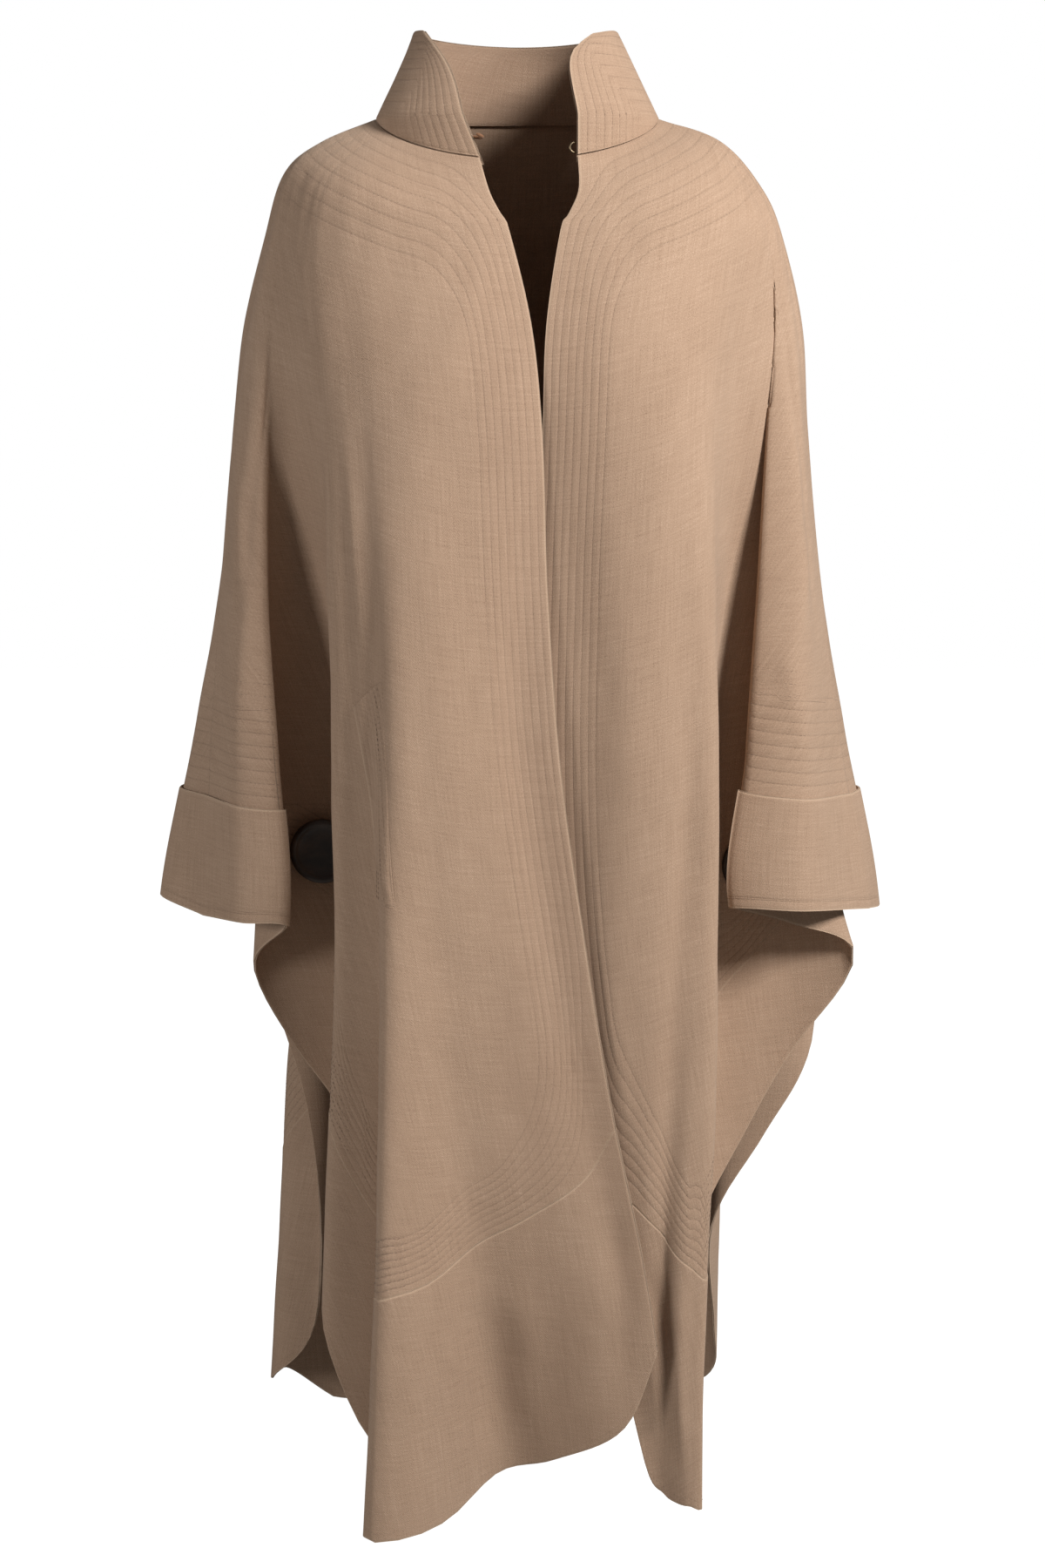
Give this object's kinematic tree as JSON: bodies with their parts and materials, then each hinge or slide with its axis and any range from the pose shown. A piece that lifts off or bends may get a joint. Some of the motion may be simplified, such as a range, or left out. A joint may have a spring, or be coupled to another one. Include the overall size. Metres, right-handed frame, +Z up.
{
  "type": "wool cape",
  "caption": "Long open-fronted wool cape with a stand collar, side buttons, turned-back cuffs and a deep hem band",
  "frame": {"origin": "middle of the neck opening at the height of the collar's side seams", "axes": "+Z up along the garment, +X to the wearer's left, +Y to the wearer's back"},
  "size_m": [0.6727, 0.4328, 1.3446],
  "materials": {
    "wool": "matte melange twill with a soft nap",
    "wool_inside": "matte melange twill, inner side",
    "button": "dark brown, softly polished",
    "hook_thread": "brown thread wrapping",
    "eye_metal": "dull bronze wire"
  },
  "bodies": {
    "root": {"front_right": "wool", "front_left": "wool", "back": "wool", "front_right_hem_band": "wool", "front_left_hem_band": "wool", "back_hem_band": "wool", "cuff_right": "wool", "cuff_left": "wool", "collar": "wool", "pocket_welt": "wool", "collar_facing": "wool_inside", "button_right": "button", "button_left": "button", "hook": "hook_thread", "eye": "eye_metal"}
  },
  "joints": []
}
